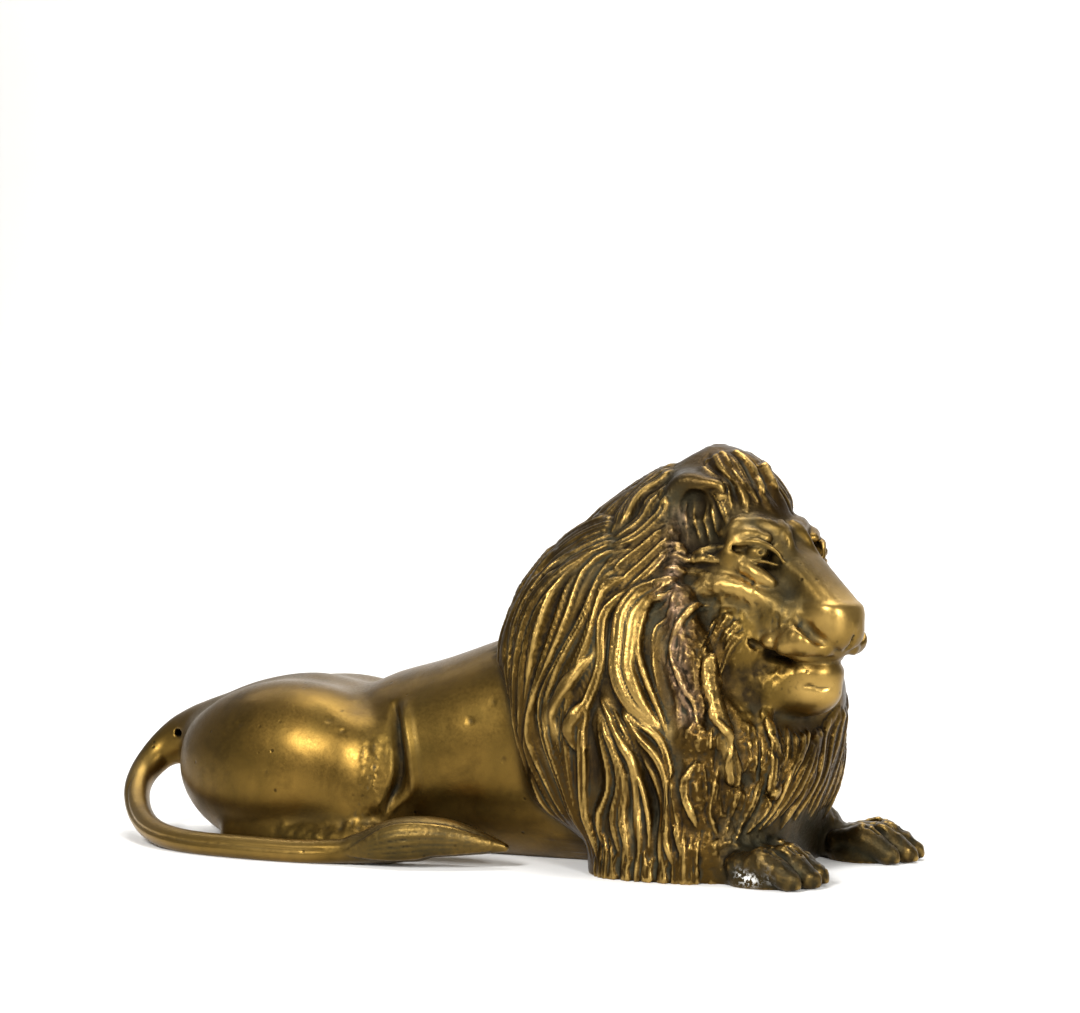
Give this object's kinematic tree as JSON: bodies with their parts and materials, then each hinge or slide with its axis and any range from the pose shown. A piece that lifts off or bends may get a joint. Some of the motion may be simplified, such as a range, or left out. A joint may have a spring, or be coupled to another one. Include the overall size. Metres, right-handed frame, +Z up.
{
  "type": "lying lion sculpture",
  "caption": "Cast brass lion lying with its head raised, a full combed mane, forepaws stretched forward and its tail curled round its right side.",
  "frame": {"origin": "middle of the lion's box, on the flat underside it lies on", "axes": "+X from the tail to the forepaws, +Y to the lion's left, +Z up"},
  "size_m": [0.3078, 0.118, 0.1509],
  "materials": {
    "brass": "worn polish with dark brown and green patina in the hollows"
  },
  "bodies": {
    "root": {"lion": "brass"}
  },
  "joints": []
}
